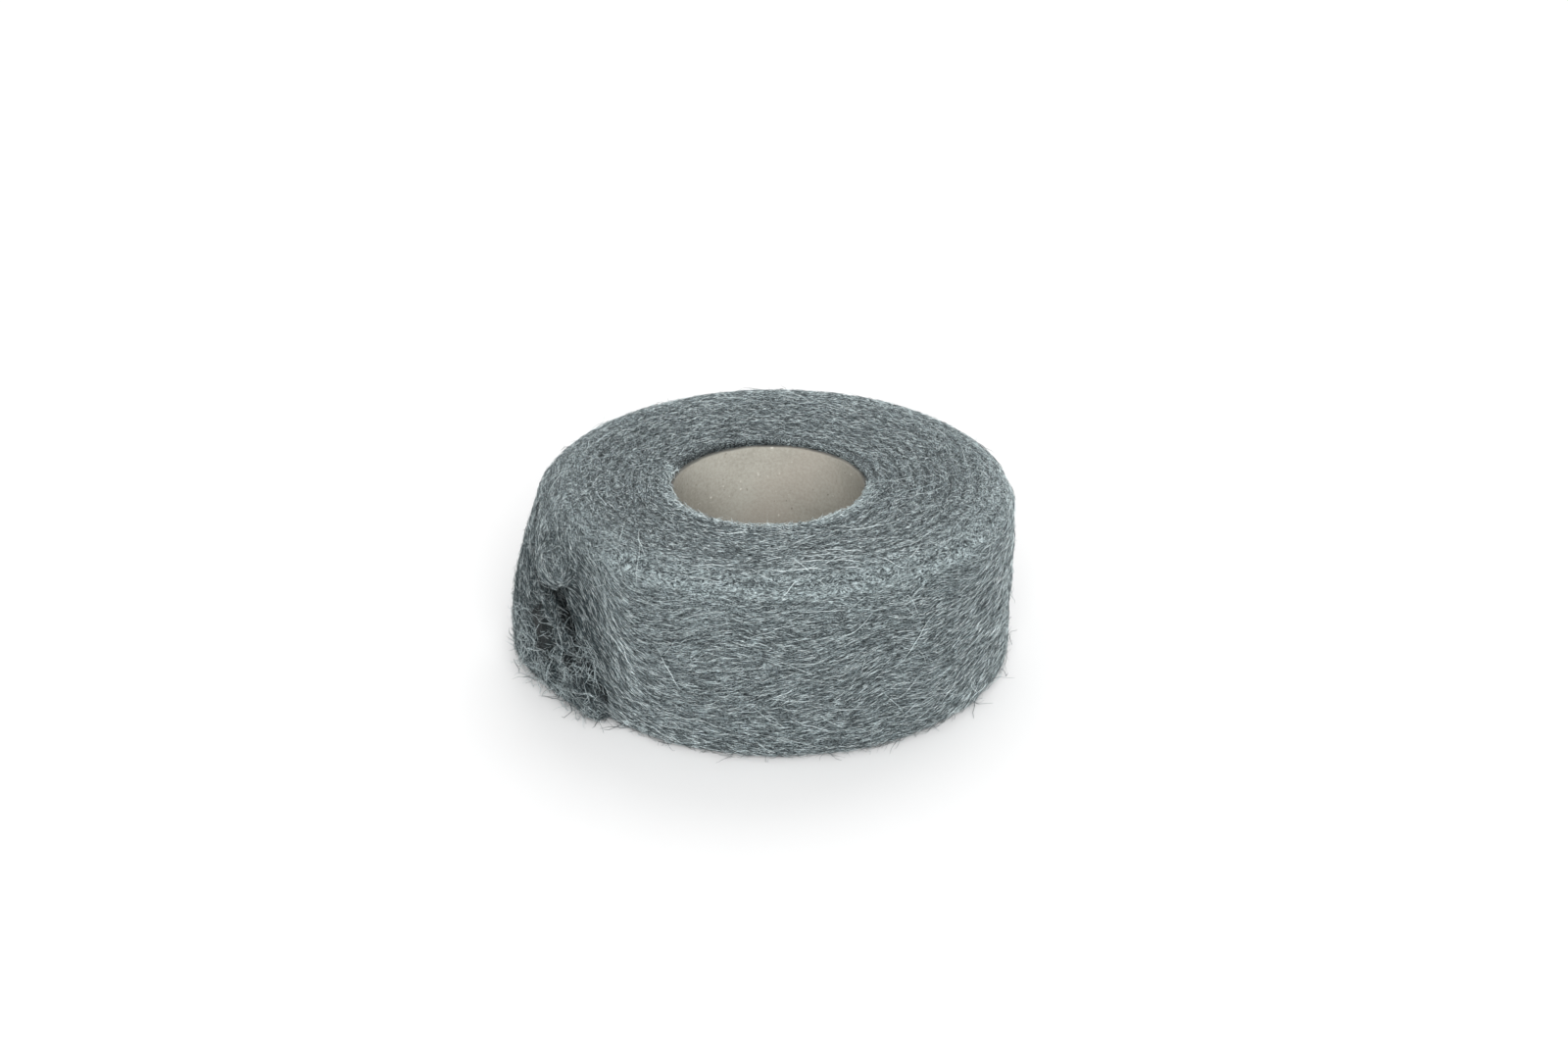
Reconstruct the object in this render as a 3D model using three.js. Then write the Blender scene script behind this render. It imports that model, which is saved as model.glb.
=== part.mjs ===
// A roll of steel wool: one long band wound round a cardboard core, its outer end torn and loose.
// Millimetres, +Z up. The roll stands on its end, with the middle of its base at the origin.
import * as THREE from 'three';
import { mergeVertices } from 'three/addons/utils/BufferGeometryUtils.js';

const { clamp, degToRad, lerp, smoothstep } = THREE.MathUtils;

// Cardboard core
const coreBore = 100;
const coreWall = 3.5;
const coreBevel = 0.7;
const coreRecess = 4; // how far the core ends below the wool round it
const fitGap = 0.3; // clearance between the core and the first turn

// Wound band
const bandWidth = 100;
const turnThickness = 6.1;
const turnCount = 12;
const windingOffset = 5; // how far the outermost turn lies off the core's axis, along +X
const lumpHeight = 3; // from the deepest dip of the outer surface to its fullest place
const lumpWaves = [ // lengths and slants of the waves that make the lumps
  { length: 34, slant: 0.6, start: 0 },
  { length: 44, slant: -0.9, start: 2 },
  { length: 58, slant: 0.4, start: 4 },
];
const upperSink = 3; // how far the upper face dips towards the core
const upperShoulder = 15;
const lowerShoulder = 8;
const innerLip = 2.5;
const rimOverhang = 3; // how far the wool has spread over the core's upper end
const rimProfile = [ // shares of the overhang and of the rim's height, from below
  { inward: 0, upward: 0 },
  { inward: 0.7, upward: 0 },
  { inward: 1, upward: 0.4 },
  { inward: 0.5, upward: 0.85 },
];
const grooveWidth = 1.6;
const grooveDepth = 1.1;
const grooveRunIn = 24; // length over which the first groove deepens

// Torn, loose end of the outer turn
const tailAngle = degToRad(225); // direction of the end, measured at the base
const looseLength = 176; // length of band that has come away
const bulgeLength = 84; // from where it comes away to where it stands out furthest
const settleLength = 66; // from there to where it has come back to the roll
const lowerBulge = 16.5;
const upperBulge = 1;
const bulgeDrop = 15; // the bulge starts this far below the upper edge
const bulgeFoot = 17; // and is full from this height down
const endGape = 7; // how far the tear stands off the roll at half height
const endGapeAtEdges = 2;
const slackLength = 53; // from where it comes away to where its upper edge starts to draw back
const upperSag = 6; // how far the upper edge has slipped down at the tear
const tearSlant = 62; // how much further the lower edge reaches than the upper
const tearDepth = 3.5;
const tearPitch = 16;

// Facets
const stepsPerTurn = 48;
const shoulderFacets = 3;
const wallFacets = 5;
const pointGrid = 1e-4;

const innerRadius = coreBore / 2 + coreWall + fitGap;
const stepAngle = 2 * Math.PI / stepsPerTurn;
const lastStep = turnCount * stepsPerTurn;
const outerRadius = windingRadius(lastStep);
const stepLength = outerRadius * stepAngle;
const looseSteps = Math.round(looseLength / stepLength);
const bulgeShare = bulgeLength / looseLength;
const settledShare = (bulgeLength + settleLength) / looseLength;
const rootStep = lastStep - stepsPerTurn - looseSteps; // where the gap under the loose end starts
const landDepth = turnThickness - grooveWidth / 2;
const lipRadius = innerRadius + innerLip;
const lipHeight = faceHeight(1, outerRadius - lipRadius, lipRadius);
const coreTop = lipHeight - coreRecess;

// The band is counted in steps from its inner end. A boundary between two turns lies at a step,
// and the same direction comes back one turn further out after stepsPerTurn of them.
function windingRadius(step) {
  return innerRadius + turnThickness * step / stepsPerTurn;
}

// A point of the band, rounded so that faces that share it hold the same numbers.
function place(step, radius, height) {
  const angle = tailAngle + (step % stepsPerTurn) * stepAngle;
  const shift = windingOffset * (radius - innerRadius) / (outerRadius - innerRadius);
  const point = new THREE.Vector3(radius * Math.cos(angle) + shift, radius * Math.sin(angle), height);
  return point.divideScalar(pointGrid).round().multiplyScalar(pointGrid);
}

// How far an arc of the given radius falls at a depth measured in from the outer surface.
function shoulderDrop(depth, radius) {
  const run = Math.max(radius - depth, 0);
  return radius - Math.sqrt(radius * radius - run * run);
}

// Height of the upper face (side 1) or the base (side -1).
function faceHeight(side, depth, radius) {
  if (side < 0) return shoulderDrop(depth, lowerShoulder);
  const inward = (outerRadius - radius) / (outerRadius - innerRadius);
  return bandWidth - shoulderDrop(depth, upperShoulder) - upperSink * inward * inward;
}

// Share of the body's own shoulder that shows as the loose end comes to its tear.
function bared(step) {
  const before = stepsPerTurn - step % stepsPerTurn;
  return smoothstep(looseSteps - before, 0, looseSteps);
}

function boundaryDepth(step) {
  const turnsOutside = turnCount - 1 - Math.floor(step / stepsPerTurn);
  return turnThickness * (turnsOutside - bared(step));
}

function looseShare(step) {
  return (step - lastStep + looseSteps) / looseSteps;
}

// Outward lift of the loose end. It bulges most near the base, and its tear gapes at half height.
function lift(step, height) {
  const along = looseShare(step);
  const start = bandWidth - bulgeDrop;
  const below = clamp((start - height) / (start - bulgeFoot), 0, 1);
  const bulge = lerp(upperBulge, lowerBulge, Math.sin(Math.PI / 2 * below));
  const gape = lerp(endGapeAtEdges, endGape, Math.sin(Math.PI * height / bandWidth));
  if (along < bulgeShare) return bulge * smoothstep(along, 0, bulgeShare);
  return lerp(bulge, gape, smoothstep(along, bulgeShare, settledShare));
}

function slackShare(step) {
  return smoothstep(looseShare(step), slackLength / looseLength, 1);
}

// The tear runs back along the band towards the upper edge, with a ragged line.
function tornStep(step, height) {
  const share = slackShare(step);
  const slant = tearSlant * height / bandWidth;
  const ragged = tearDepth * Math.sin(2 * Math.PI * height / tearPitch);
  return step - share * (slant + share * share * ragged) / stepLength;
}

// The wool's outer surface isn't even: it swells and dips along three waves that cross.
function lump(step, depth, height) {
  const waves = lumpWaves.map(({ length, slant, start }) => {
    const around = Math.round(2 * Math.PI * outerRadius / length) * step * stepAngle;
    return Math.sin(around + slant * 2 * Math.PI * height / length + start);
  });
  const mean = waves.reduce((sum, wave) => sum + wave, 0) / waves.length;
  return lumpHeight / 2 * mean * Math.max(1 - depth / landDepth, 0);
}

function outerTurnPoint(step, depth, height) {
  const torn = tornStep(step, height);
  const sag = upperSag * slackShare(step) * (height / bandWidth) ** 2;
  const radius = windingRadius(torn) - depth + lift(torn, height) + lump(step, depth, height);
  return place(torn, radius, height - sag);
}

// Rim of the groove at a boundary: towards the core (rim -1), its floor (0) or away from it (1).
function groovePoint(step, rim, side) {
  const size = Math.min((step - stepsPerTurn) * windingRadius(step) * stepAngle / grooveRunIn, 1);
  const outward = rim * size * grooveWidth / 2;
  const radius = windingRadius(step) + outward;
  const face = faceHeight(side, boundaryDepth(step) - outward, radius);
  return place(step, radius, rim === 0 ? face - side * size * grooveDepth : face);
}

// Where the outermost turn, or the loose end, begins on a face.
function landStart(step, side) {
  if (step - stepsPerTurn <= rootStep) return groovePoint(step - stepsPerTurn, 1, side);
  return outerTurnPoint(step, landDepth, faceHeight(side, landDepth, outerRadius - landDepth));
}

// Depth and height of each point down a rounded outer wall, without its two land starts.
function roundedWall() {
  const points = [];
  const arc = (radius, facet) => {
    const start = Math.asin(Math.max(radius - landDepth, 0) / radius);
    const angle = lerp(start, Math.PI / 2, facet / shoulderFacets);
    return [radius * (1 - Math.sin(angle)), radius * (1 - Math.cos(angle))];
  };
  for (let facet = 1; facet <= shoulderFacets; facet += 1) {
    const [depth, drop] = arc(upperShoulder, facet);
    points.push({ depth, height: bandWidth - drop });
  }
  for (let facet = 1; facet < wallFacets; facet += 1) {
    const height = lerp(bandWidth - upperShoulder, lowerShoulder, facet / wallFacets);
    points.push({ depth: 0, height });
  }
  for (let facet = shoulderFacets; facet >= 1; facet -= 1) {
    const [depth, drop] = arc(lowerShoulder, facet);
    points.push({ depth, height: drop });
  }
  return points;
}

const wallProfile = roundedWall();

// Points down the gap's wall, from the upper groove's floor to the lower one's.
function gapLevels(step) {
  const upper = groovePoint(step, 0, 1).z;
  const lower = groovePoint(step, 0, -1).z;
  const count = wallProfile.length - 2;
  return Array.from({ length: count }, (_, index) => lerp(upper, lower, index / (count - 1)));
}

const rootLevels = gapLevels(rootStep);

// One line of points down the outside, from the upper face's land start to the base's.
function outerRow(step) {
  const wall = wallProfile.map(({ depth, height }) => outerTurnPoint(step, depth, height));
  return [landStart(step, 1), ...wall, landStart(step, -1)];
}

// The same on the turn that lies under the loose end, square at the root and rounded at the tear.
function coveredRow(step) {
  const radius = windingRadius(step);
  const levels = rootLevels.map((height) => place(step, radius, height));
  const square = [groovePoint(step, -1, 1), ...levels, groovePoint(step, -1, -1)];
  const round = wallProfile.map(({ depth, height }) => place(step, radius - depth, height));
  const wall = square.map((point, index) => point.lerp(round[index], bared(step)));
  return [landStart(step, 1), ...wall, landStart(step, -1)];
}

// The inner face of the loose end.
function innerRow(step) {
  const levels = rootLevels.map((height) => outerTurnPoint(step, turnThickness, height));
  return [landStart(step, 1), ...levels, landStart(step, -1)];
}

// The wall against the core, from the base up, with a soft rim that ends over the core.
function coreSideRow(step) {
  const rimBottom = coreTop + fitGap;
  const rim = rimProfile.map(({ inward, upward }) => [
    innerRadius - inward * rimOverhang,
    lerp(rimBottom, lipHeight, upward),
  ]);
  const profile = [[lipRadius, 0], [innerRadius, innerLip], ...rim, [lipRadius, lipHeight]];
  return profile.map(([radius, height]) => place(step, radius, height));
}

const corners = [];

function addTriangle(a, b, c) {
  const degenerate = a.equals(b) || b.equals(c) || c.equals(a);
  if (!degenerate) corners.push(a, b, c);
}

// Faces between two rows of points, seen from outside with the second row to the right.
function addStrip(left, right) {
  for (let index = 1; index < left.length; index += 1) {
    addTriangle(left[index - 1], left[index], right[index]);
    addTriangle(left[index - 1], right[index], right[index - 1]);
  }
}

// One face of the roll: the lands of the turns and the spiral groove between them.
function addFace(side) {
  const strip = (left, right) => (side > 0 ? addStrip(left, right) : addStrip(right, left));
  const lip = (step) => place(step % stepsPerTurn, lipRadius, side > 0 ? lipHeight : 0);
  for (let step = stepsPerTurn; step < rootStep; step += 1) {
    const ends = [step, step + 1];
    const [left, right] = ends.map((end) => [-1, 0, 1].map((rim) => groovePoint(end, rim, side)));
    strip(left, right);
    if (step + 1 + stepsPerTurn <= rootStep) {
      const [start, next] = ends.map((end) => groovePoint(end, 1, side));
      const [far, farNext] = ends.map((end) => groovePoint(end + stepsPerTurn, -1, side));
      strip([start, far], [next, farNext]);
    }
  }
  for (let step = stepsPerTurn; step < 2 * stepsPerTurn - 1; step += 1) {
    strip([lip(step), groovePoint(step, -1, side)], [lip(step + 1), groovePoint(step + 1, -1, side)]);
  }
  const before = 2 * stepsPerTurn - 1;
  const grooveStart = groovePoint(stepsPerTurn, 0, side);
  const rim = [before, before + 1].map((step) => groovePoint(step, -1, side));
  strip([lip(before), grooveStart], [lip(before + 1), grooveStart]);
  strip([lip(before), rim[0]], [grooveStart, rim[1]]);
}

function buildWool() {
  addFace(1);
  addFace(-1);
  for (let step = 0; step < stepsPerTurn; step += 1) {
    addStrip(coreSideRow(step), coreSideRow((step + 1) % stepsPerTurn));
  }
  const tearStep = lastStep - stepsPerTurn;
  const row = (step) => (step < tearStep ? coveredRow(step) : outerRow(step));
  for (let step = rootStep; step < lastStep; step += 1) {
    addStrip(row(step), row(step + 1));
  }
  for (let step = lastStep - looseSteps; step < lastStep; step += 1) {
    addStrip(innerRow(step + 1), innerRow(step));
  }
  const inside = innerRow(lastStep);
  addStrip(outerRow(lastStep), [inside[0], ...inside, inside.at(-1)]);
  const geometry = mergeVertices(new THREE.BufferGeometry().setFromPoints(corners), pointGrid);
  geometry.computeVertexNormals();
  return geometry;
}

// The core: a plain tube with bevelled rims, its facets in line with those of the wool round it.
function buildCore() {
  const inner = coreBore / 2;
  const outer = inner + coreWall;
  const profile = [
    [inner + coreBevel, 0],
    [outer - coreBevel, 0],
    [outer, coreBevel],
    [outer, coreTop - coreBevel],
    [outer - coreBevel, coreTop],
    [inner + coreBevel, coreTop],
    [inner, coreTop - coreBevel],
    [inner, coreBevel],
    [inner + coreBevel, 0],
  ].map(([radius, height]) => new THREE.Vector2(radius, height));
  const tube = new THREE.LatheGeometry(profile, stepsPerTurn);
  return tube.rotateX(Math.PI / 2).rotateZ(tailAngle);
}

const cardboard = new THREE.MeshStandardMaterial({ color: 0xa8a498, roughness: 0.9, metalness: 0 });
const steelWool = new THREE.MeshStandardMaterial({ color: 0x80898c, roughness: 0.55, metalness: 0.7 });

const core = new THREE.Mesh(buildCore(), cardboard);
core.name = 'cardboard_core';
const wool = new THREE.Mesh(buildWool(), steelWool);
wool.name = 'steel_wool_roll';

const roll = new THREE.Group();
roll.add(core, wool);
const middle = new THREE.Box3().setFromObject(roll).getCenter(new THREE.Vector3());
roll.position.set(-middle.x, -middle.y, 0);

export default roll;
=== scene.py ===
import math

import bmesh
import bpy
from mathutils import Matrix, Vector


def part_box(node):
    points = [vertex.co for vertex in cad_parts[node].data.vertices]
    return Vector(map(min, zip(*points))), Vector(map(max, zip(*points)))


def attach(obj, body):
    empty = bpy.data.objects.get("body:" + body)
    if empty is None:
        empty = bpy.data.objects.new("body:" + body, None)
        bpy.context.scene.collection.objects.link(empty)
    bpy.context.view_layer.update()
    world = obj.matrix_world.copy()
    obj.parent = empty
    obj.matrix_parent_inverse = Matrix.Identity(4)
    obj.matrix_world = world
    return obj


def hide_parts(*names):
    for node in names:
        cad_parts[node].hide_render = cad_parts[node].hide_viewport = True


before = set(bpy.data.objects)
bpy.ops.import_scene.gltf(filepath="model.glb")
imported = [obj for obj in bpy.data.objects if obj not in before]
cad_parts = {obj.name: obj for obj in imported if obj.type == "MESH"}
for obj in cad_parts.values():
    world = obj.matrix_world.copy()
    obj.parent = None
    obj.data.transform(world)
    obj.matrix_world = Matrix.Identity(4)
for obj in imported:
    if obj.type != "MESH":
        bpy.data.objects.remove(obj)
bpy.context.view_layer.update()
mm = 0.001

# The axis of the winding is the core's own axis.
coreLow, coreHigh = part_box("cardboard_core")
axisX = (coreLow.x + coreHigh.x) / 2
axisY = (coreLow.y + coreHigh.y) / 2
print("frame loaded, core axis at", round(axisX, 5), round(axisY, 5))

winding = {
    "innerRadius": 53.8 * mm,
    "outerRadius": 127 * mm,
    "turnThickness": 6.1 * mm,
    "outwardShift": 5 * mm,  # how far the last turn lies off the axis, along +X
    "endAngle": 225,  # where the band starts and ends, in degrees
}


# Marks in the loose end: direction in degrees and height, then sizes along the surface.
tear = {
    "creases": [
        ((187, 87 * mm), (200.5, 68 * mm)),
        ((200.5, 68 * mm), (207, 63 * mm)),
        ((214, 34 * mm), (223.5, 15 * mm)),
    ],
    "creaseWidth": 2.4 * mm,
    "creaseDepth": 5.5 * mm,
    "creaseRoughness": 5 * mm,
    "hollowMiddle": (205.5, 40 * mm),
    "hollowAcross": 13 * mm,
    "hollowUp": 15 * mm,
    "hollowLean": 0.35,
    "hollowDepth": 7 * mm,
    "tuftMiddle": (205, 20 * mm),  # frizzy wool with sunken gaps in it, painted in shade
    "tuftAcross": 32 * mm,
    "tuftUp": 19 * mm,
    "tuftLean": 0.3,
    "gapDepth": 3 * mm,
    "sunkMargin": 0.6 * mm,  # how far beyond a crease the surface sinks, is painted in shade, and has few fibres
    "shadeMargin": 1.2 * mm,
    "bareMargin": 1.7 * mm,
    "fadeRadii": (112 * mm, 119 * mm),  # nothing sinks nearer to the axis than this
    "surfaceRadius": 129 * mm,
}


class Wire:
    # One output of a node. Sums of numbers become Math nodes, sums of vectors Vector Math nodes.
    def __init__(self, tree, socket):
        self.tree = tree
        self.socket = socket

    def sum(self, operation, first, second):
        sides = [first, second]
        vectors = [
            side for side in sides
            if isinstance(side, Vector) or isinstance(side, Wire) and side.socket.type == "VECTOR"
        ]
        if not vectors:
            return self.tree.node("ShaderNodeMath", {"operation": operation}, sides)["Value"]
        if operation == "MULTIPLY" and len(vectors) == 1:
            number = second if vectors[0] is first else first
            return self.tree.node("ShaderNodeVectorMath", {"operation": "SCALE"}, [vectors[0], number])["Vector"]
        return self.tree.node("ShaderNodeVectorMath", {"operation": operation}, sides)["Vector"]

    def __add__(self, other):
        return self.sum("ADD", self, other)

    def __radd__(self, other):
        return self.sum("ADD", other, self)

    def __sub__(self, other):
        return self.sum("SUBTRACT", self, other)

    def __rsub__(self, other):
        return self.sum("SUBTRACT", other, self)

    def __mul__(self, other):
        return self.sum("MULTIPLY", self, other)

    def __rmul__(self, other):
        return self.sum("MULTIPLY", other, self)

    def __truediv__(self, other):
        return self.sum("DIVIDE", self, other)


class Tree:
    def __init__(self, nodeTree):
        self.nodeTree = nodeTree
        nodeTree.nodes.clear()

    # Any node: its type, its settings first, then the values or links of its sockets, in order or by name.
    def node(self, kind, settings=None, inputs=()):
        made = self.nodeTree.nodes.new(kind)
        for name, value in (settings or {}).items():
            if name == "stops":
                ramp = made.color_ramp
                for index, (place, colour) in enumerate(value):
                    stop = ramp.elements[index] if index < 2 else ramp.elements.new(place)
                    stop.position = place
                    stop.color = (*colour, 1)
            else:
                setattr(made, name, value)
        live = [socket for socket in made.inputs if socket.enabled]
        for key, value in inputs.items() if isinstance(inputs, dict) else enumerate(inputs):
            socket = live[key] if isinstance(key, int) else next(s for s in live if key in (s.name, s.identifier))
            if isinstance(value, Wire):
                self.nodeTree.links.new(value.socket, socket)
            else:
                socket.default_value = value
        return {s.name: Wire(self, s) for s in reversed(made.outputs) if s.enabled}

    def math(self, operation, *values):
        return self.node("ShaderNodeMath", {"operation": operation}, values)["Value"]

    def vector(self, x, y, z):
        return self.node("ShaderNodeCombineXYZ", None, [x, y, z])["Vector"]

    def parts(self, vector):
        split = self.node("ShaderNodeSeparateXYZ", None, [vector])
        return split["X"], split["Y"], split["Z"]

    def noise(self, vector, scale, detail=2.0, roughness=0.5, w=0.0):
        settings = {"noise_dimensions": "4D", "normalize": True}
        sockets = {"Vector": vector, "W": w, "Scale": scale, "Detail": detail, "Roughness": roughness}
        return self.node("ShaderNodeTexNoise", settings, sockets)

    # Runs from 0 to 1 as the value goes from low to high.
    def ease(self, value, low, high):
        sockets = {"Value": value, "From Min": low, "From Max": high}
        return self.node("ShaderNodeMapRange", {"interpolation_type": "SMOOTHSTEP"}, sockets)["Result"]

    def blend(self, share, first, second):
        sockets = {"Factor": share, "A": first, "B": second}
        return self.node("ShaderNodeMix", {"data_type": "RGBA"}, sockets)["Result"]

    # Angle, radius and height of a place on the roll, from the spiral's own centre, then its level direction.
    def windingPlace(self, position):
        x, y, z = self.parts(position - Vector((axisX, axisY, 0)))
        nearRadius = self.math("SQRT", x * x + y * y)
        span = winding["outerRadius"] - winding["innerRadius"]
        x = x - (nearRadius - winding["innerRadius"]) * (winding["outwardShift"] / span)
        radius = self.math("SQRT", x * x + y * y)
        angle = self.math("ARCTAN2", y, x)
        return angle, radius, z, x / radius, y / radius

    # An angle as degrees from 0 to 360.
    def degrees(self, angle):
        return self.math("MODULO", angle * (180 / math.pi) + 360, 360.0)

    # 0 at the boundary between two turns, 1 in the middle of a turn.
    def turnSwell(self, angle, radius):
        share = self.math("FRACT", (angle - math.radians(winding["endAngle"])) / (2 * math.pi) + 2)
        turns = (radius - winding["innerRadius"]) / winding["turnThickness"] - share
        return self.math("ABSOLUTE", self.math("SINE", turns * math.pi))


# How much a place lies in a crease, in the hollow and in a gap of the torn end, each from 0 to 1.
def tearMarks(tree, position, angle, height, margin):
    around = tree.math("MODULO", angle + 2 * math.pi, 2 * math.pi) * tear["surfaceRadius"]
    rough = tree.noise(position, 170, 2, 0.6, 8.8)["Fac"] - 0.5

    def spot(mark):
        return math.radians(mark[0]) * tear["surfaceRadius"], mark[1]

    def crease(start, end):
        startU, startV = spot(start)
        endU, endV = spot(end)
        runU, runV = endU - startU, endV - startV
        share = ((around - startU) * runU + (height - startV) * runV) / (runU * runU + runV * runV)
        share = tree.math("MINIMUM", tree.math("MAXIMUM", share, 0.0), 1.0)
        offU = around - startU - share * runU
        offV = height - startV - share * runV
        off = tree.math("SQRT", offU * offU + offV * offV) + rough * tear["creaseRoughness"]
        return 1 - tree.ease(off, margin, tear["creaseWidth"] + margin)

    # How far a place is from the middle of an oval that leans the way the tear does, in its half widths.
    def oval(name):
        middleU, middleV = spot(tear[name + "Middle"])
        overV = (height - middleV) / tear[name + "Up"]
        overU = (around - middleU) / tear[name + "Across"] + overV * tear[name + "Lean"]
        return tree.math("SQRT", overU * overU + overV * overV)

    creased = 0.0
    for start, end in tear["creases"]:
        creased = tree.math("MAXIMUM", creased, crease(start, end))
    hollow = 1 - tree.ease(oval("hollow") + rough * 1.5, 0.55, 1.15)
    gaps = tree.ease(tree.noise(position, 150, 2, 0.6, 7.3)["Fac"], 0.5, 0.58)
    return creased, hollow, gaps * (1 - tree.ease(oval("tuft"), 0.6, 1.1))


def geometryTree(name, sizes):
    group = bpy.data.node_groups.new(name, "GeometryNodeTree")
    group.interface.new_socket("Geometry", in_out="INPUT", socket_type="NodeSocketGeometry")
    group.interface.new_socket("Geometry", in_out="OUTPUT", socket_type="NodeSocketGeometry")
    kinds = {int: "NodeSocketInt", float: "NodeSocketFloat", bpy.types.Material: "NodeSocketMaterial"}
    for label, value in sizes.items():
        socket = group.interface.new_socket(label, in_out="INPUT", socket_type=kinds[type(value)])
        socket.default_value = value
    tree = Tree(group)
    return tree, tree.node("NodeGroupInput")


# Puts a tree on an object with its own sizes.
def addTree(obj, tree, sizes):
    modifier = obj.modifiers.new("shape", "NODES")
    modifier.node_group = tree.nodeTree
    for item in tree.nodeTree.interface.items_tree:
        if item.in_out == "INPUT" and item.name in sizes:
            modifier[item.identifier] = sizes[item.name]


# Turns what an object's modifiers make into its own plain mesh.
def settle(obj):
    graph = bpy.context.evaluated_depsgraph_get()
    mesh = bpy.data.meshes.new_from_object(obj.evaluated_get(graph))
    obj.modifiers.clear()
    obj.data = mesh
    mesh.name = obj.name
    mesh.calc_loop_triangles()
    print(obj.name, "has", len(mesh.loop_triangles), "triangles")
    return obj


def newObject(name, mesh):
    obj = bpy.data.objects.new(name, mesh)
    bpy.context.scene.collection.objects.link(obj)
    return obj


def newMaterial(name, shader):
    material = bpy.data.materials.new(name)
    material.use_nodes = True
    tree = Tree(material.node_tree)
    place = tree.node("ShaderNodeTexCoord")["Object"]
    sockets = shader(tree, place)
    finished = tree.node("ShaderNodeBsdfPrincipled", None, sockets)["BSDF"]
    tree.node("ShaderNodeOutputMaterial", None, {"Surface": finished})
    return material


# How much painted shade falls on the loose end and the fold beside it, from 0 to 1, less towards the top.
def looseEndShade(tree, angle, radius, height):
    turned = tree.degrees(angle)
    share = tree.ease(turned + height * 280, 172, 198) * (1 - tree.ease(turned, 217, 234))
    share = share * (1 - 0.6 * tree.ease(height, 64 * mm, 82 * mm))
    return share * tree.ease(radius, 108 * mm, 118 * mm)


# Finishes

board = {
    "dark": (0.29, 0.278, 0.24, 1),
    "light": (0.39, 0.38, 0.337, 1),
    "warm": (0.4, 0.355, 0.31, 1),
    "darkFleck": (0.12, 0.1, 0.08, 1),
    "paleFleck": (0.78, 0.76, 0.7, 1),
    "seam": (0.25, 0.23, 0.19, 1),
    "rimShade": (0.05, 0.052, 0.05, 1),
    "stripRise": 85 * mm,  # how far the strip of board climbs in one turn
}


def cardboardFinish(tree, place):
    cloud = tree.noise(place, 38, 3, 0.55)["Fac"]
    grain = tree.noise(place, 620, 4, 0.65)["Fac"]
    fleck = tree.noise(place, 410, 2, 0.5, 3.1)["Fac"]
    pale = tree.noise(place, 300, 2, 0.5, 7.7)["Fac"]
    tone = tree.blend(tree.ease(cloud * 0.4 + grain * 0.6, 0.34, 0.66), board["dark"], board["light"])
    warm = tree.noise(place, 30, 1, 0.5, 5.5)["Fac"]
    tone = tree.blend(tree.ease(warm, 0.5, 0.7) * 0.3, tone, board["warm"])
    tone = tree.blend(tree.ease(fleck, 0.66, 0.74) * 0.6, tone, board["darkFleck"])
    tone = tree.blend(tree.ease(pale, 0.68, 0.76) * 0.6, tone, board["paleFleck"])
    angle, _, height = tree.windingPlace(place)[:3]
    # The tube is wound from a strip of board, whose edges meet along a helix.
    strip = tree.math("FRACT", height / board["stripRise"] + angle / (2 * math.pi) + 4)
    seam = 1 - tree.ease(tree.math("ABSOLUTE", strip - 0.5), 0.0, 0.012)
    tone = tree.blend(seam * 0.2, tone, board["seam"])
    # Painted shade: the upper rim is darkened in patches, standing in for the shadow in the gap between the rim and
    # the wool.
    rim = tree.ease(height + cloud * (2 * mm), coreHigh.z + 0.1 * mm, coreHigh.z + 1.1 * mm)
    tone = tree.blend(rim * 0.85, tone, board["rimShade"])
    relief = grain * 0.5 + cloud * 0.35 - seam * 0.5
    normal = tree.node("ShaderNodeBump", None, {"Strength": 0.35, "Distance": 0.4 * mm, "Height": relief})["Normal"]
    return {"Base Color": tone, "Roughness": 0.82 + grain * 0.14, "Normal": normal, "Specular IOR Level": 0.25}


# Streaks of three widths: how many to a metre along the winding and across it, and how much light each adds.
packing = {
    "deep": {"along": 200, "across": 720, "light": 0.06},
    "bright": {"along": 420, "across": 1700, "light": 0.38},
    "fine": {"along": 520, "across": 2500, "light": 0.56},
    "patchLight": 0.1,
    "swellLight": 0.22,
    "shoulderHighlight": 0.08,
    "innerShade": 0.16,
    "tones": [
        (0.0, (0.006, 0.008, 0.009)),
        (0.4, (0.05, 0.063, 0.067)),
        (0.75, (0.27, 0.322, 0.334)),
        (1.0, (0.66, 0.76, 0.775)),
    ],
    "looseShadeTone": (0.014, 0.019, 0.021, 1),
    "creaseShadeTone": (0.006, 0.011, 0.012, 1),
}


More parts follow.
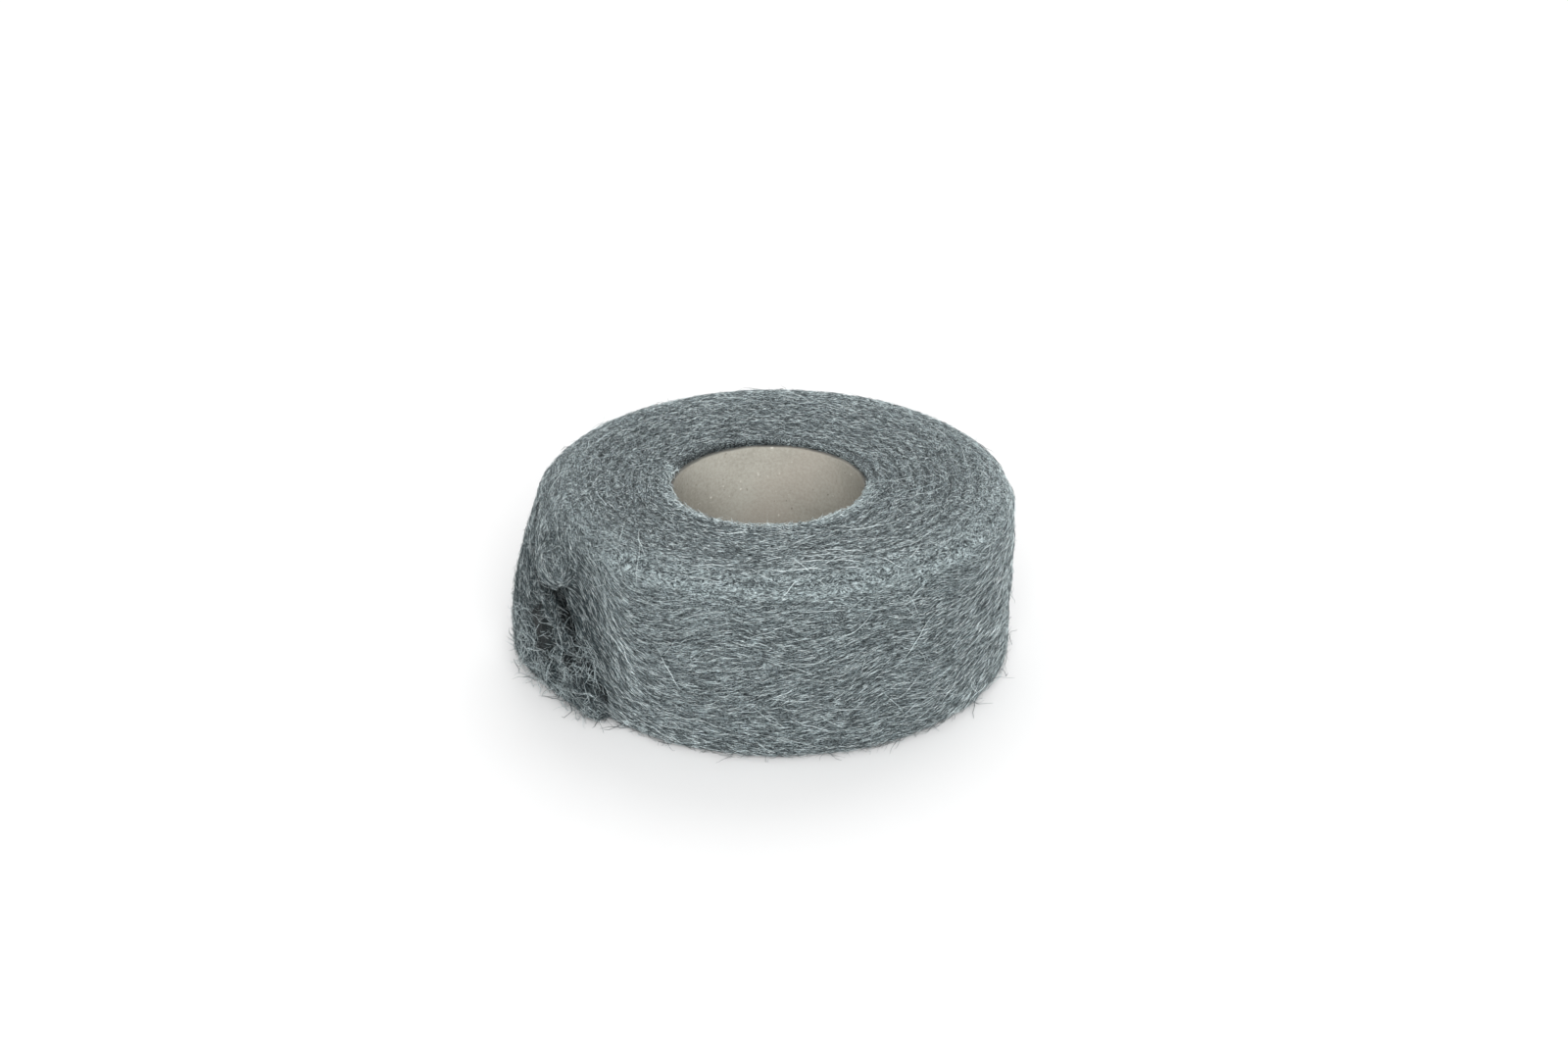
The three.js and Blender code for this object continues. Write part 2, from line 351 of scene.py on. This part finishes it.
def woolFinish(tree, place):
    angle, radius, height = tree.windingPlace(place)[:3]
    # The streaks run round the roll, and this makes them wavy.
    drift = tree.noise(place, 70, 2, 0.5, 4.4)["Fac"] - 0.5
    sway = tree.noise(place, 210, 2, 0.5, 6.1)["Fac"] - 0.5
    shift = drift * (14 * mm) + sway * (4 * mm)
    across = radius + shift
    up = height - shift
    eastward, northward = tree.parts(place)[:2]

    def streaks(kind, detail):
        lengthwise, crosswise = packing[kind]["along"], packing[kind]["across"]
        vector = tree.vector(eastward * lengthwise, northward * lengthwise, across * crosswise)
        return tree.noise(vector, 1, detail, 0.6, up * crosswise)["Fac"]

    deep = tree.ease(streaks("deep", 2), 0.36, 0.6)
    bright = 1 - tree.ease(tree.math("ABSOLUTE", streaks("bright", 2) - 0.52), 0.0, 0.07)
    fine = tree.ease(streaks("fine", 1), 0.4, 0.6)
    patch = tree.noise(place, 24, 2, 0.5, 1.7)["Fac"]
    top = tree.ease(height, 84 * mm, 92 * mm)
    shoulder = tree.ease(radius, 90 * mm, 122 * mm)
    swell = tree.turnSwell(angle, radius + drift * (5 * mm)) * top
    light = deep * packing["deep"]["light"] + bright * packing["bright"]["light"]
    light = light + fine * packing["fine"]["light"] + patch * packing["patchLight"] + swell * packing["swellLight"]
    # Painted highlight along the shoulder, where the top rolls over into the side.
    light = light + shoulder * tree.ease(height, 60 * mm, 90 * mm) * packing["shoulderHighlight"]
    light = light - (1 - shoulder) * packing["innerShade"]
    tone = tree.node("ShaderNodeValToRGB", {"stops": packing["tones"]}, [light])["Color"]
    # Painted shade: the wool of the loose end is darkened.
    tone = tree.blend(looseEndShade(tree, angle, radius, height) * 0.72, tone, packing["looseShadeTone"])
    # Painted shade in the creases, the hollow and the gaps of the torn end.
    crease, hollow, gap = tearMarks(tree, place, angle, height, tear["shadeMargin"])
    creaseShade = tree.math("MAXIMUM", tree.math("MAXIMUM", crease, hollow), gap)
    tone = tree.blend(creaseShade * 0.92, tone, packing["creaseShadeTone"])
    relief = bright * 0.5 + fine * 0.5 + deep * 0.2 + swell * 0.6
    normal = tree.node("ShaderNodeBump", None, {"Strength": 0.9, "Distance": 1.0 * mm, "Height": relief})["Normal"]
    return {"Base Color": tone, "Roughness": 0.75 - bright * 0.3, "Metallic": 0.4, "Normal": normal}


def fibreFinish(dark, light, endShading):
    def shader(tree, place):
        glint = tree.noise(place, 1700, 1, 0.5)["Fac"]
        tone = tree.blend(tree.ease(glint, 0.36, 0.66), (*dark, 1), (*light, 1))
        # Painted shade: fibres on the loose end are darkened, each finish by its own share.
        endShade = looseEndShade(tree, *tree.windingPlace(place)[:3]) * endShading
        tone = tree.blend(endShade, tone, (0.013, 0.031, 0.038, 1))
        return {"Base Color": tone, "Roughness": 0.62 - glint * 0.2, "Metallic": 0.45}
    return shader


cardboard = newMaterial("mottled tube board", cardboardFinish)
wool = newMaterial("packed steel wool", woolFinish)
# The last number of each fibre finish is how much painted shade it takes on the loose end.
darkFibre = newMaterial("steel fibre, dark", fibreFinish((0.035, 0.046, 0.049), (0.15, 0.182, 0.19), 0.7))
midFibre = newMaterial("steel fibre, mid", fibreFinish((0.25, 0.302, 0.315), (0.53, 0.625, 0.647), 0.76))
brightFibre = newMaterial("steel fibre, bright", fibreFinish((0.72, 0.84, 0.86), (0.94, 1, 1), 0.4))
tornFibre = newMaterial("steel fibre, torn end", fibreFinish((0.28, 0.335, 0.345), (0.66, 0.76, 0.775), 0.1))
print("materials made")


# Cardboard tube, a little clear of the wool round it

tube = {
    "wall": 3.1 * mm,
    "rim": 0.7 * mm,
    "segments": 144,
    "rimSteps": 4,  # in each rounded corner of a rim
    "wallRings": 14,  # up each wall, which keeps the shading even
    "facetReserve": 0.4 * mm,  # the tube stays this far inside the first turn
}


def revolve(name, profile, segments):
    count = len(profile)
    corners = []
    for turn in range(segments):
        angle = 2 * math.pi * turn / segments
        for radius, height in profile:
            corners.append((axisX + radius * math.cos(angle), axisY + radius * math.sin(angle), height))
    faces = []
    for turn in range(segments):
        here = turn * count
        there = (turn + 1) % segments * count
        for index in range(count):
            after = (index + 1) % count
            faces.append((here + index, there + index, there + after, here + after))
    mesh = bpy.data.meshes.new(name)
    mesh.from_pydata(corners, [], faces)
    mesh.shade_smooth()
    return newObject(name, mesh)


def tubeProfile():
    outer = (coreHigh.x - coreLow.x) / 2 - tube["facetReserve"]
    inner = outer - tube["wall"]
    rim = tube["rim"]
    corners = [
        (outer - rim, coreLow.z + rim, -90),
        (outer - rim, coreHigh.z - rim, 0),
        (inner + rim, coreHigh.z - rim, 90),
        (inner + rim, coreLow.z + rim, 180),
    ]
    steps, rings = tube["rimSteps"], tube["wallRings"]

    def rimPoint(corner, turned):
        radius, height, start = corner
        angle = math.radians(start + turned)
        return Vector((radius + rim * math.cos(angle), height + rim * math.sin(angle)))

    profile = []
    for index, corner in enumerate(corners):
        profile += [rimPoint(corner, 90 * step / steps) for step in range(steps + 1)]
        if index in (0, 2):  # the outer and the inner wall start here
            near, far = profile[-1], rimPoint(corners[index + 1], 0)
            profile += [near.lerp(far, ring / rings) for ring in range(1, rings)]
    return profile


coreTube = revolve("core_tube", tubeProfile(), tube["segments"])
coreTube.data.materials.append(cardboard)
print("core tube made")


# Body of the wool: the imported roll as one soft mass

body = {
    "voxel": 2.5 * mm,
    "smoothing": 5,
    "bridgePlace": (208, 123.5 * mm, 76 * mm),  # wool that still holds the loose end to the roll
    "bridgeReach": (6.5 * mm, 15 * mm, 11 * mm),  # outwards, along and up
    "ripples": (12, 260),  # along the winding, in one radian, and across it, in one metre
    "surface": {
        "Lump height": 0.8 * mm,
        "Lump scale": 26.0,
        "Ripple height": 0.4 * mm,
        "Turn swell": 0.55 * mm,
        "Crease depth": tear["creaseDepth"],
        "Hollow depth": tear["hollowDepth"],
        "Gap depth": tear["gapDepth"],
        "Wool": wool,
    },
}


def bodyTree():
    tree, given = geometryTree("wool surface", body["surface"])
    position = tree.node("GeometryNodeInputPosition")["Position"]
    normal = tree.node("GeometryNodeInputNormal")["Normal"]
    angle, radius, height, x, y = tree.windingPlace(position)
    lump = tree.noise(position, given["Lump scale"], 2, 0.5, 5.3)["Fac"] - 0.5
    along, across = body["ripples"]
    rippled = tree.vector(x * along, y * along, radius * across)
    ripple = tree.noise(rippled, 1, 2, 0.5, height * across)["Fac"] - 0.5
    upward = tree.math("ABSOLUTE", tree.parts(normal)[2])
    swell = (tree.turnSwell(angle, radius) - 1) * tree.ease(upward, 0.3, 0.9)
    # The base stays flat, so the lumps fade towards it.
    standing = tree.ease(height, 0.0, 8 * mm)
    offset = (lump * given["Lump height"] + ripple * given["Ripple height"]) * standing
    offset = offset + swell * given["Turn swell"]
    crease, hollow, gap = tearMarks(tree, position, angle, height, tear["sunkMargin"])
    sunk = crease * given["Crease depth"] + hollow * given["Hollow depth"] + gap * given["Gap depth"]
    offset = offset - sunk * tree.ease(radius, *tear["fadeRadii"])
    moved = tree.node("GeometryNodeSetPosition", None, {"Geometry": given["Geometry"], "Offset": normal * offset})
    sockets = {"Geometry": moved["Geometry"], "Shade Smooth": True}
    smooth = tree.node("GeometryNodeSetShadeSmooth", None, sockets)["Geometry"]
    whole = tree.node("GeometryNodeRealizeInstances", None, {"Geometry": smooth})["Geometry"]
    coated = tree.node("GeometryNodeSetMaterial", None, {"Geometry": whole, "Material": given["Wool"]})["Geometry"]
    tree.node("NodeGroupOutput", None, [coated])
    return tree


def mergedCopy(node, name):
    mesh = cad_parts[node].data.copy()
    obj = newObject(name, mesh)
    weld = obj.modifiers.new("merge", "WELD")
    weld.merge_threshold = 0.01 * mm
    return settle(obj)


# A soft lump of wool across the upper end of the tear.
def addBridge(mesh):
    direction, radius, height = body["bridgePlace"]
    turn = Matrix.Rotation(math.radians(direction), 4, "Z")
    place = Matrix.Translation((axisX, axisY, height)) @ turn @ Matrix.Translation((radius, 0, 0))
    built = bmesh.new()
    built.from_mesh(mesh)
    scale = Matrix.Diagonal((*body["bridgeReach"], 1))
    bmesh.ops.create_icosphere(built, subdivisions=3, radius=1, matrix=place @ scale)
    built.to_mesh(mesh)
    built.free()


woolBody = mergedCopy("steel_wool_roll", "wool_body")
woolBody.data.materials.clear()
addBridge(woolBody.data)
remesh = woolBody.modifiers.new("remesh", "REMESH")
remesh.mode = "VOXEL"
remesh.voxel_size = body["voxel"]
soften = woolBody.modifiers.new("soften", "SMOOTH")
soften.factor = 0.5
soften.iterations = body["smoothing"]
addTree(woolBody, bodyTree(), body["surface"])
settle(woolBody)


# Fibres: thin, wavy and closed, and laid along the winding on the body's surface

def fibreTree(name, segments):
    tree, given = geometryTree(name, {
        "Density": 100000.0,
        "Seed": 1,
        "Length": 16 * mm,
        "Length spread": 0.5,
        "Thickness": 0.12 * mm,
        "Tilt": 0.3,
        "Sway": 0.0,
        "Pitch": 0.1,
        "Lift": 0.5 * mm,
        "Wave": 2.6 * mm,
        "Wave scale": 150.0,
        "Least upward": -2.0,
        "Most upward": 2.0,
        "Nearest": 0.0,
        "Furthest": 1.0,
        "Lowest": -1.0,
        "Highest": 1.0,
        "First angle": 0.0,
        "Last angle": 400.0,
        "Zone slant": 0.0,
        "Avoid tear": 0.9,
        "Patchiness": 0.0,
        "Dark share": 0.42,
        "Bright share": 0.3,
        "Dark": darkFibre,
        "Mid": midFibre,
        "Bright": brightFibre,
    })
    position = tree.node("GeometryNodeInputPosition")["Position"]
    normal = tree.node("GeometryNodeInputNormal")["Normal"]
    angle, radius, height, x, y = tree.windingPlace(position)
    turned = tree.degrees(angle)
    upward = tree.parts(normal)[2]

    def within(value, low, high):
        above = tree.math("GREATER_THAN", value, given[low])
        return above * tree.math("LESS_THAN", value, given[high])

    zone = within(upward, "Least upward", "Most upward") * within(radius, "Nearest", "Furthest")
    slanted = turned + height * (given["Zone slant"] * 10)
    zone = zone * within(height, "Lowest", "Highest") * within(slanted, "First angle", "Last angle")
    crease, hollow, gap = tearMarks(tree, position, angle, height, tear["bareMargin"])
    bare = tree.math("MAXIMUM", tree.math("MAXIMUM", crease, hollow), gap) * given["Avoid tear"]
    clumps = (0.9 + 0.2 * tree.noise(position, 60, 2, 0.5, 2.2)["Fac"]) * (1 - bare)
    patches = tree.ease(tree.noise(position, 190, 2, 0.5, 9.1)["Fac"], 0.44, 0.58)
    clumps = clumps * (1 + given["Patchiness"] * (patches * 2 - 1))
    # On top, fewer fibres lie over the line between two turns.
    top = tree.ease(upward, 0.6, 0.9)
    clumps = clumps * (1 - top * 0.75 * (1 - tree.turnSwell(angle, radius)))
    spots = tree.node("GeometryNodeDistributePointsOnFaces", None, {
        "Mesh": given["Geometry"],
        "Density": given["Density"] * zone * clumps,
        "Seed": given["Seed"],
    })

    def chance(low, high, extra):
        sockets = {"Min": low, "Max": high, "Seed": given["Seed"] + extra}
        return tree.node("FunctionNodeRandomValue", {"data_type": "FLOAT"}, sockets)["Value"]

    settings = {"data_type": "FLOAT", "domain": "POINT"}
    sockets = {"Geometry": spots["Points"], "Name": "pick", "Value": chance(0.0, 1.0, 1)}
    marked = tree.node("GeometryNodeStoreNamedAttribute", settings, sockets)["Geometry"]
    pick = tree.node("GeometryNodeInputNamedAttribute", {"data_type": "FLOAT"}, ["pick"])["Attribute"]
    isDark = tree.math("LESS_THAN", pick, given["Dark share"])
    isBright = tree.math("GREATER_THAN", pick, 1 - given["Bright share"])
    girth = given["Thickness"] * (0.7 + 0.6 * tree.math("FRACT", pick * 57))

    # Each fibre lies along the winding, turned and tipped by chance.
    around = tree.vector(y * -1, x, 0.0)
    outward = spots["Normal"]
    inSurface = tree.node("ShaderNodeVectorMath", {"operation": "DOT_PRODUCT"}, [around, outward])["Value"]
    along = around - outward * inSurface
    turn = chance(-1.0, 1.0, 2)
    # Neighbours lie nearly parallel, and their direction drifts from place to place.
    sway = (tree.noise(position, 22, 2, 0.5, 3.6)["Fac"] - 0.5) * given["Sway"]
    # At the torn end they hang down, the way its creases run.
    hang = tree.ease(turned, 178, 192) * (1 - tree.ease(turned, 222, 245)) * given["Sway"] * -0.25
    angleOff = turn * tree.math("ABSOLUTE", turn) * given["Tilt"] + sway + hang
    sockets = {"Vector": along, "Axis": outward, "Angle": angleOff}
    along = tree.node("ShaderNodeVectorRotate", {"rotation_type": "AXIS_ANGLE"}, sockets)["Vector"]
    along = along + outward * (chance(-1.0, 1.0, 3) * given["Pitch"])
    length = given["Length"] * (1 + chance(-1.0, 1.0, 4) * given["Length spread"])
    sockets = {"Geometry": marked, "Offset": outward * (chance(-0.4, 1.0, 5) * given["Lift"])}
    raised = tree.node("GeometryNodeSetPosition", None, sockets)["Geometry"]
    if segments:
        line = tree.node("GeometryNodeCurvePrimitiveLine", None, [(0, 0, -1), (0, 0, 1)])["Curve"]
        shape = tree.node("GeometryNodeResampleCurve", None, {"Curve": line, "Count": segments + 1})["Curve"]
        breadth = 1.0
    else:
        # A short fibre is a slim spindle of six faces.
        sockets = {"Segments": 3, "Rings": 2, "Radius": 1.0}
        shape = tree.node("GeometryNodeMeshUVSphere", None, sockets)["Mesh"]
        breadth = girth
    settings = {"primary_axis": "Z", "secondary_axis": "X"}
    placed = tree.node("GeometryNodeInstanceOnPoints", None, {
        "Points": raised,
        "Instance": shape,
        "Rotation": tree.node("FunctionNodeAxesToRotation", settings, [along, outward])["Rotation"],
        "Scale": tree.vector(breadth, breadth, length * 0.5),
    })["Instances"]
    strands = tree.node("GeometryNodeRealizeInstances", None, [placed])["Geometry"]

    # Every fibre bends in its own way, and none goes below the floor.
    bend = tree.noise(position, given["Wave scale"], 1, 0.5, pick * 200)["Color"]
    bent = position + (bend - Vector((0.5, 0.5, 0.5))) * given["Wave"]
    bentX, bentY, bentZ = tree.parts(bent)
    bent = tree.vector(bentX, bentY, tree.math("MAXIMUM", bentZ, given["Thickness"] * 1.2))
    strands = tree.node("GeometryNodeSetPosition", None, {"Geometry": strands, "Position": bent})["Geometry"]
    if segments:
        share = tree.node("GeometryNodeSplineParameter")["Factor"]
        taper = 0.35 + 0.65 * tree.math("SINE", share * math.pi)
        circle = tree.node("GeometryNodeCurvePrimitiveCircle", None, {"Resolution": 3, "Radius": 1.0})["Curve"]
        sockets = {"Curve": strands, "Profile Curve": circle, "Scale": girth * taper, "Fill Caps": True}
        strands = tree.node("GeometryNodeCurveToMesh", None, sockets)["Mesh"]
    strands = tree.node("GeometryNodeSetShadeSmooth", None, {"Geometry": strands, "Shade Smooth": True})["Geometry"]
    strands = tree.node("GeometryNodeRealizeInstances", None, {"Geometry": strands})["Geometry"]
    for label, selected in (("Mid", True), ("Dark", isDark), ("Bright", isBright)):
        sockets = {"Geometry": strands, "Selection": selected, "Material": given[label]}
        strands = tree.node("GeometryNodeSetMaterial", None, sockets)["Geometry"]
    tree.node("NodeGroupOutput", None, [strands])
    return tree


longSegments = 7
shortFibre = fibreTree("short fibres", 0)
longFibre = fibreTree("long fibres", longSegments)


def fibreCoat(name, tree, sizes):
    obj = newObject(name, woolBody.data.copy())
    addTree(obj, tree, {"Dark": darkFibre, "Mid": midFibre, "Bright": brightFibre, **sizes})
    return settle(obj)


# What the pieces of one coat have in common.
sideCoat = {
    "Density": 930000.0, "Length": 8 * mm, "Tilt": 0.45, "Sway": 2.2, "Thickness": 0.11 * mm,
    "Least upward": -0.6, "Most upward": 0.45, "Nearest": 80 * mm,
}
topCoat = {
    "Density": 980000.0, "Length": 5 * mm, "Tilt": 1.1, "Sway": 1.2, "Thickness": 0.11 * mm, "Least upward": 0.45,
}
coats = {
    "wool_fibres_side_low": (shortFibre, {**sideCoat, "Seed": 11, "Highest": 31 * mm}),
    "wool_fibres_side_mid": (shortFibre, {**sideCoat, "Seed": 12, "Lowest": 31 * mm, "Highest": 59 * mm}),
    "wool_fibres_side_high": (shortFibre, {**sideCoat, "Seed": 20, "Lowest": 59 * mm}),
    "wool_fibres_top_inner": (shortFibre, {**topCoat, "Seed": 13, "Nearest": 56 * mm, "Furthest": 95 * mm}),
    "wool_fibres_top_outer": (shortFibre, {**topCoat, "Seed": 21, "Nearest": 95 * mm}),
    "wool_fibres_rim": (shortFibre, {
        "Density": 1900000.0, "Seed": 14, "Length": 6 * mm, "Tilt": 2.6, "Lift": 1.2 * mm, "Least upward": 0.2,
        "Furthest": 57 * mm, "Lowest": 90 * mm, "First angle": 160.0, "Pitch": 0.5, "Wave": 5 * mm,
        "Thickness": 0.16 * mm, "Dark share": 0.2, "Mid": tornFibre,
    }),
    "wool_fibres_base": (shortFibre, {
        "Density": 120000.0, "Seed": 15, "Length": 7 * mm, "Tilt": 0.8, "Most upward": -0.6,
    }),
    "wool_fibres_stray": (longFibre, {
        "Density": 9000.0, "Seed": 16, "Length": 20 * mm, "Tilt": 1.2, "Pitch": 0.12, "Lift": 0.8 * mm,
        "Wave": 7 * mm, "Wave scale": 70.0, "Thickness": 0.13 * mm, "Least upward": -0.7, "Nearest": 56 * mm,
        "Bright share": 0.4,
    }),
    "wool_fibres_flap": (shortFibre, {
        "Density": 500000.0, "Seed": 18, "Length": 6 * mm, "Tilt": 2.6, "Pitch": 0.2, "Lift": 0.8 * mm,
        "Wave": 6 * mm, "Least upward": -0.7, "Most upward": 0.6, "Nearest": 112 * mm, "Lowest": 3 * mm,
        "Highest": 80 * mm, "First angle": 186.0, "Last angle": 226.0, "Zone slant": 28.0, "Bright share": 0.36,
        "Patchiness": 0.75, "Avoid tear": 1.0,
    }),
    "wool_torn_end": (longFibre, {
        "Density": 120000.0, "Seed": 17, "Length": 14 * mm, "Tilt": 3.1, "Pitch": 0.8, "Lift": 5 * mm,
        "Wave": 13 * mm, "Wave scale": 140.0, "Thickness": 0.15 * mm, "Least upward": -0.8, "Most upward": 0.8,
        "Nearest": 112 * mm, "Lowest": 4 * mm, "Highest": 44 * mm, "First angle": 194.0, "Last angle": 223.0,
        "Avoid tear": 0.75, "Patchiness": 0.8, "Dark share": 0.25, "Bright share": 0.15, "Mid": tornFibre,
    }),
    "wool_fringe": (longFibre, {
        "Density": 90000.0, "Seed": 19, "Length": 13 * mm, "Tilt": 2.8, "Pitch": 0.5, "Lift": 1.2 * mm,
        "Wave": 8 * mm, "Wave scale": 100.0, "Thickness": 0.1 * mm, "Least upward": -0.9, "Most upward": -0.1,
        "Nearest": 100 * mm, "Highest": 9 * mm, "Dark share": 0.7, "Bright share": 0.05,
    }),
    "wool_small_tuft": (longFibre, {
        "Density": 350000.0, "Seed": 23, "Length": 9 * mm, "Tilt": 3.1, "Pitch": 0.9, "Lift": 2 * mm,
        "Wave": 7 * mm, "Wave scale": 140.0, "Thickness": 0.13 * mm, "Least upward": -0.8, "Most upward": 0.6,
        "Nearest": 112 * mm, "Highest": 10 * mm, "First angle": 183.0, "Last angle": 190.0, "Dark share": 0.3,
        "Bright share": 0.1, "Mid": tornFibre,
    }),
    "wool_loose_hairs": (longFibre, {
        "Density": 8500.0, "Seed": 22, "Length": 16 * mm, "Tilt": 3.1, "Pitch": 1.4, "Lift": 3 * mm,
        "Wave": 17 * mm, "Wave scale": 85.0, "Thickness": 0.14 * mm, "Least upward": -0.9, "Most upward": 0.1,
        "Nearest": 100 * mm, "Highest": 10 * mm, "Dark share": 1.0, "Bright share": 0.0,
    }),
}
fibrePieces = [fibreCoat(name, tree, sizes) for name, (tree, sizes) in coats.items()]
print("fibres made:", len(fibrePieces), "pieces")


# Floor, light and camera

studio = {
    "worldStrength": 0.62,
    "rearSun": 0.9,
    "rearFrom": (0.2, 0.9, 1),
    "frontSun": 3.4,
    "frontFrom": (0.1, -1, 0.6),
    "softness": 45,  # width of both lights in the sky, in degrees
    "floorSize": 40,
    "floorTones": ((0.79, 0.79, 0.79, 1), (0.805, 0.805, 0.805, 1)),
}


def floorFinish(tree, place):
    cloud = tree.noise(place, 3, 2, 0.5)["Fac"]
    return {"Base Color": tree.blend(cloud, *studio["floorTones"]), "Roughness": 0.9}


half = studio["floorSize"] / 2
floorMesh = bpy.data.meshes.new("floor")
floorMesh.from_pydata([(-half, -half, 0), (half, -half, 0), (half, half, 0), (-half, half, 0)], [], [(0, 1, 2, 3)])
floorMesh.materials.append(newMaterial("pale floor", floorFinish))
floor = newObject("floor", floorMesh)

world = bpy.data.worlds.new("studio")
world.use_nodes = True
surround = Tree(world.node_tree)
glow = surround.node("ShaderNodeBackground", None, [(1, 1, 1, 1), studio["worldStrength"]])["Background"]
surround.node("ShaderNodeOutputWorld", None, [glow])
bpy.context.scene.world = world


def softSun(name, strength, direction):
    lamp = bpy.data.lights.new(name, "SUN")
    lamp.energy = strength
    lamp.angle = math.radians(studio["softness"])
    obj = bpy.data.objects.new(name, lamp)
    bpy.context.scene.collection.objects.link(obj)
    obj.rotation_euler = Vector(direction).to_track_quat("Z", "Y").to_euler()


softSun("rear light", studio["rearSun"], studio["rearFrom"])
softSun("front light", studio["frontSun"], studio["frontFrom"])
print("floor and lights made")

view = {
    "elevation": 27.35,
    "distance": 1.25,
    "lens": 54.02,
    "sensor": 36,
    "middle": (3.5 * mm, 50 * mm),  # right of the core's axis, and up from the floor
    "aimRight": 4.4 * mm,  # the picture's middle, seen from that point
    "aimUp": 19.8 * mm,
}
middle = Vector((axisX + view["middle"][0], axisY, view["middle"][1]))
slope = math.radians(view["elevation"])
back = Vector((0, -math.cos(slope), math.sin(slope)))
upward = Vector((0, math.sin(slope), math.cos(slope)))
camera = bpy.data.cameras.new("camera")
camera.lens = view["lens"]
camera.sensor_width = view["sensor"]
cameraObject = bpy.data.objects.new("camera", camera)
bpy.context.scene.collection.objects.link(cameraObject)
cameraObject.location = middle + back * view["distance"]
aim = middle + Vector((1, 0, 0)) * view["aimRight"] + upward * view["aimUp"]
cameraObject.rotation_euler = (aim - cameraObject.location).to_track_quat("-Z", "Y").to_euler()
bpy.context.scene.camera = cameraObject
bpy.context.scene.view_settings.view_transform = "Standard"

for piece in [woolBody, *fibrePieces]:
    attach(piece, "root")
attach(coreTube, "root")
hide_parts("cardboard_core")
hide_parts("steel_wool_roll")
